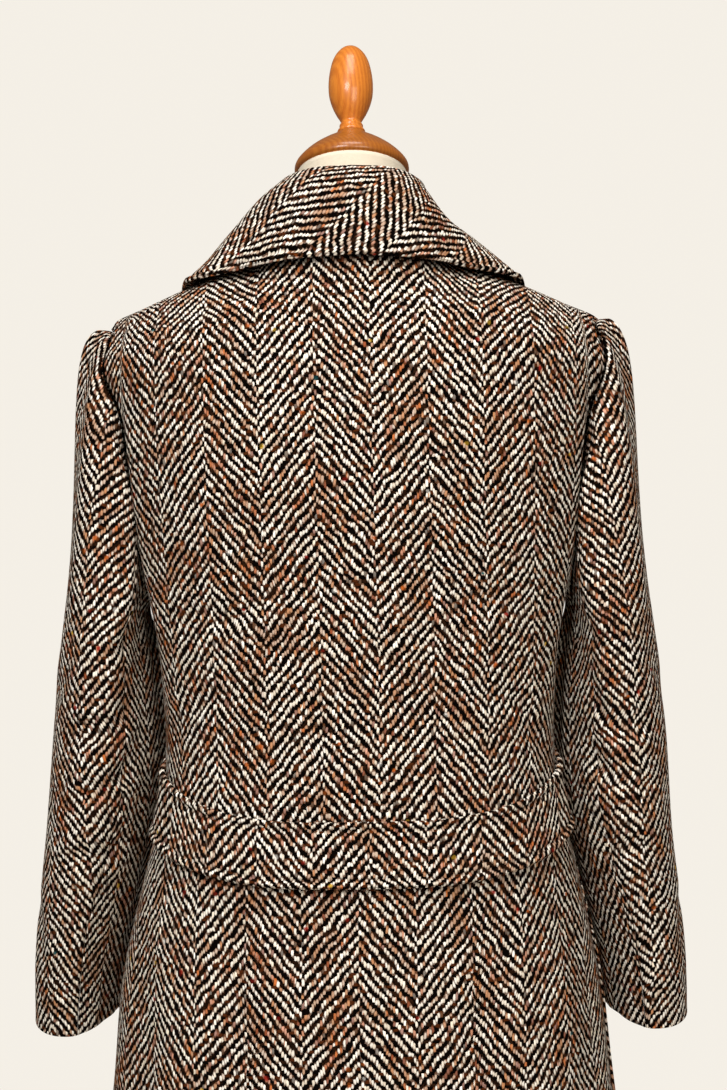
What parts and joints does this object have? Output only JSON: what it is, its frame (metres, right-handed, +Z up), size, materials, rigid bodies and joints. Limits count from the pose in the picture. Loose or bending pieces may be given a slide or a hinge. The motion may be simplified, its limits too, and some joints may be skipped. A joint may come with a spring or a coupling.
{
  "type": "wool overcoat on a dress form",
  "caption": "Herringbone tweed overcoat with a wide collar, set-in sleeves and a curved half belt, worn by a limbless dress form on a round stand.",
  "frame": {"origin": "centre of the stand's underside, on the floor", "axes": "+Z up, the coat's front faces -Y, the wearer's left is +X"},
  "size_m": [0.58, 0.39, 1.5912],
  "materials": {
    "tweed": "heavy two-and-two herringbone wool tweed, cream warp over near-black and brown weft, with coloured flecks and slubs",
    "linen": "plain cream linen, pulled tight",
    "wood": "turned wood with honey-brown gloss lacquer",
    "button": "dark brown horn-like buttons with four holes"
  },
  "bodies": {
    "root": {"back_upper": "tweed", "back_skirt": "tweed", "half_belt": "tweed", "front_left": "tweed", "front_right": "tweed", "lapel_left": "tweed", "lapel_right": "tweed", "collar": "tweed", "sleeve_top_left": "tweed", "sleeve_top_right": "tweed", "sleeve_under_left": "tweed", "sleeve_under_right": "tweed", "button_1": "button", "button_2": "button", "button_3": "button", "button_4": "button", "form_torso": "linen", "form_neck_cap": "wood", "form_finial": "wood", "form_pole": "wood", "form_base": "wood"}
  },
  "joints": []
}
